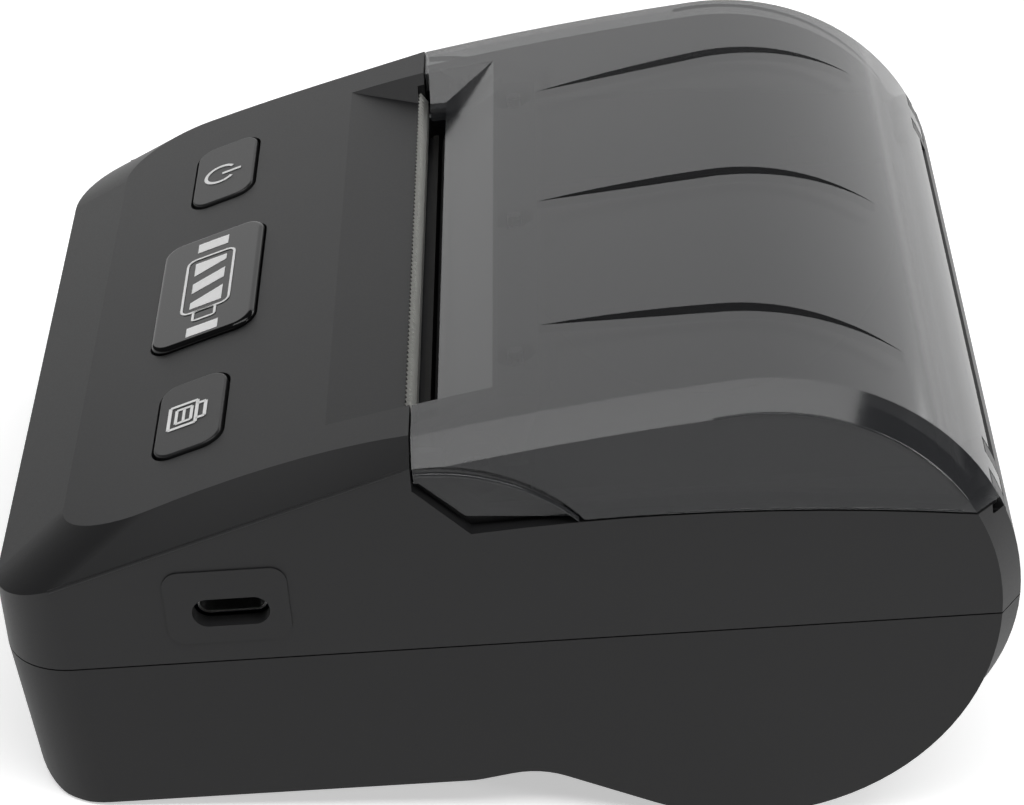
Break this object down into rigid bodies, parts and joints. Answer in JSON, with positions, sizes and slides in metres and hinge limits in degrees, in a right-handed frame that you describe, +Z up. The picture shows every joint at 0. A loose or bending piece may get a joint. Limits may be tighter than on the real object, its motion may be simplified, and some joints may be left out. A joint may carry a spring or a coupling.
{
  "type": "portable receipt printer",
  "caption": "Portable receipt printer with a round paper bay, a rear-hinged lid, a toothed tear blade and two keys beside a status window.",
  "frame": {"origin": "centre of the footprint on the table under the overall box", "axes": "+Z up from the table, +Y from the key panel to the lid hinge, X across along the tear slot"},
  "size_m": [0.1162, 0.1324, 0.0656],
  "materials": {
    "case_black": "fine matte texture",
    "case_dark": "fine matte texture",
    "lid_smoke": "polished smoked plastic",
    "key_black": "satin",
    "window": "polished",
    "blade_steel": "brushed",
    "steel": "ground",
    "screw_steel": "satin",
    "sheet_steel": "satin",
    "socket_steel": "satin",
    "motor_shell": "satin",
    "contact_brass": "satin",
    "head_aluminium": "satin",
    "head_ceramic": "glazed",
    "roller_rubber": "ground rubber",
    "gear_white": "natural",
    "bracket_black": "satin",
    "tub_black": "satin",
    "board_green": "satin",
    "chip_black": "satin",
    "switch_black": "satin",
    "light_white": "clear",
    "battery_wrap": "shrink wrap"
  },
  "bodies": {
    "base": {"upper_case": "case_black", "lower_case": "case_dark", "hinge_pins": "steel", "display_lens": "window", "key_board": "board_green", "key_board_screws": "screw_steel", "key_switches": "switch_black", "status_lights": "light_white", "case_screws": "screw_steel", "main_board": "board_green", "board_screws": "screw_steel", "usb_socket": "socket_steel", "board_parts": "chip_black", "buzzer": "chip_black", "mechanism_frame": "sheet_steel", "mechanism_screws": "screw_steel", "head_pivot_shaft": "steel", "head_springs": "steel", "paper_sensor": "chip_black", "tear_blade": "blade_steel", "blade_screws": "screw_steel", "gear_studs": "steel", "motor_body": "motor_shell", "paper_tub": "tub_black", "battery_pack": "battery_wrap", "battery_contacts": "contact_brass"},
    "lid": {"lid": "lid_smoke", "platen_bracket": "bracket_black", "bracket_screws": "screw_steel", "platen_bushes": "gear_white"},
    "platen": {"platen_roller": "roller_rubber", "platen_shaft": "steel", "platen_gear": "gear_white"},
    "idler_a": {"idler_gear_a": "gear_white"},
    "idler_b": {"idler_gear_b": "gear_white"},
    "motor": {"motor_pinion": "contact_brass"},
    "head": {"head_plate": "head_aluminium", "thermal_head": "head_ceramic"},
    "power_key": {"power_button": "key_black"},
    "feed_key": {"feed_button": "key_black"},
    "door": {"battery_door": "case_dark"}
  },
  "joints": [
    {"name": "lid_hinge", "type": "hinge", "parent": "base", "child": "lid", "pos_m": [0, 0.06104, 0.04767], "axis": [-1, 0, 0], "range_deg": [0, 80]},
    {"name": "platen_spin", "type": "hinge", "parent": "lid", "child": "platen", "pos_m": [0, -0.00415, 0.04697], "axis": [1, 0, 0], "continuous": true},
    {"name": "idler_a_spin", "type": "hinge", "parent": "base", "child": "idler_a", "pos_m": [0, -0.004, 0.03397], "axis": [1, 0, 0], "continuous": true},
    {"name": "idler_b_spin", "type": "hinge", "parent": "base", "child": "idler_b", "pos_m": [0, -0.0135, 0.03389], "axis": [1, 0, 0], "continuous": true},
    {"name": "motor_spin", "type": "hinge", "parent": "base", "child": "motor", "pos_m": [0, -0.02373, 0.04016], "axis": [1, 0, 0], "continuous": true},
    {"name": "head_tilt", "type": "hinge", "parent": "base", "child": "head", "pos_m": [0, -0.01258, 0.03641], "axis": [1, 0, 0], "range_deg": [0, 2], "stiffness_Nm_per_rad": 0.4},
    {"name": "power_button_press", "type": "slide", "parent": "base", "child": "power_key", "axis": [0, 0.4001, -0.9165], "range_m": [0, 0.0006], "stiffness_N_per_m": 1500},
    {"name": "feed_button_press", "type": "slide", "parent": "base", "child": "feed_key", "axis": [0, 0.4001, -0.9165], "range_m": [0, 0.0006], "stiffness_N_per_m": 1500},
    {"name": "battery_door_hinge", "type": "hinge", "parent": "base", "child": "door", "pos_m": [0, -0.01244, 0.00564], "axis": [1, 0, 0], "range_deg": [0, 55]}
  ],
  "couplings": [
    {"joint": "idler_a_spin", "follows": "platen_spin", "ratio": -1.1667},
    {"joint": "idler_b_spin", "follows": "platen_spin", "ratio": 2},
    {"joint": "motor_spin", "follows": "platen_spin", "ratio": -4.8571}
  ]
}
